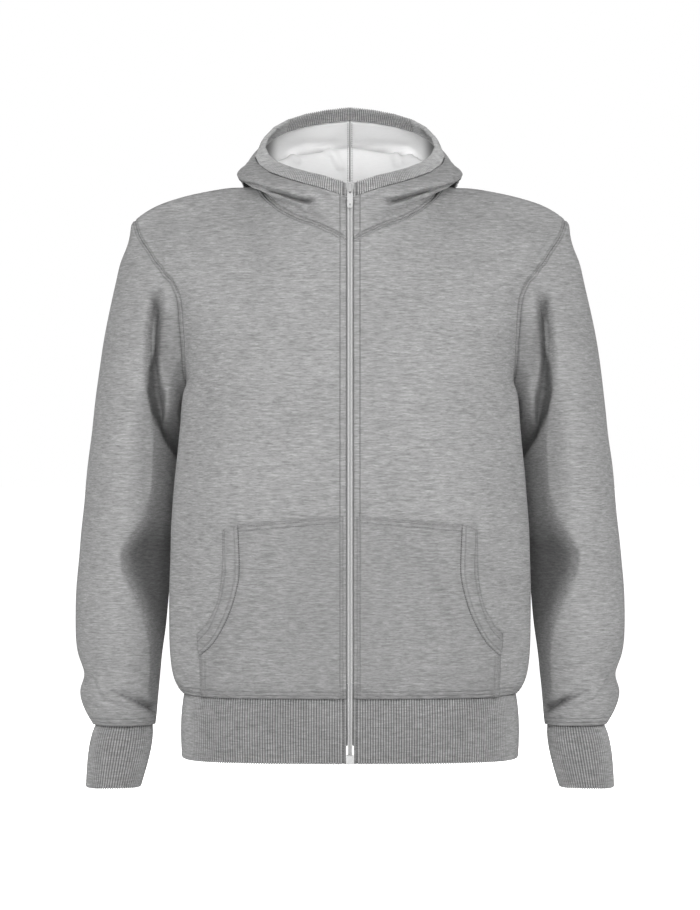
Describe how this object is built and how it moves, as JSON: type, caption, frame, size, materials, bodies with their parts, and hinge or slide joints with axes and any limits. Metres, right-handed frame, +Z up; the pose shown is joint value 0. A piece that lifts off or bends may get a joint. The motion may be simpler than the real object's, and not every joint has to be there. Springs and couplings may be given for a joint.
{
  "type": "zip up hoodie",
  "caption": "Long-sleeved hooded sweatshirt with a full front zip, two front pockets and ribbed hem, cuffs and hood edge, filled out as worn, its hood down.",
  "frame": {"origin": "middle of the neck, level with the highest points of the shoulders, where a wearer's shoulders carry the garment", "axes": "+Z up, the front and its zip face -Y, +X to the right of a viewer in front"},
  "size_m": [0.668, 0.298, 0.8423],
  "materials": {
    "fleece": "heather grey brushed-back sweatshirt knit, matt",
    "rib": "heather grey rib knit, matt",
    "pocket_fleece": "heather grey sweatshirt knit, matt",
    "zip_tape": "woven polyester tape and moulded coil, satin",
    "zip_metal": "light grey enamelled zinc, satin"
  },
  "bodies": {
    "garment": {"front_right": "fleece", "front_left": "fleece", "back": "fleece", "sleeve_right": "fleece", "sleeve_left": "fleece", "hood_right": "fleece", "hood_left": "fleece", "hem_rib": "rib", "cuff_right": "rib", "cuff_left": "rib", "hood_binding": "rib", "pocket_right": "pocket_fleece", "pocket_left": "pocket_fleece", "pocket_band_right": "fleece", "pocket_band_left": "fleece", "zip_chain": "zip_tape", "zip_tape_right": "zip_tape", "zip_tape_left": "zip_tape", "zip_box": "zip_metal", "slider": "zip_metal"},
    "tab": {"pull_tab": "zip_metal"}
  },
  "joints": [
    {"name": "tab_swing", "type": "hinge", "parent": "garment", "child": "tab", "pos_m": [0, -0.10519, -0.01527], "axis": [-1, 0, 0], "range_deg": [0, 150]}
  ]
}
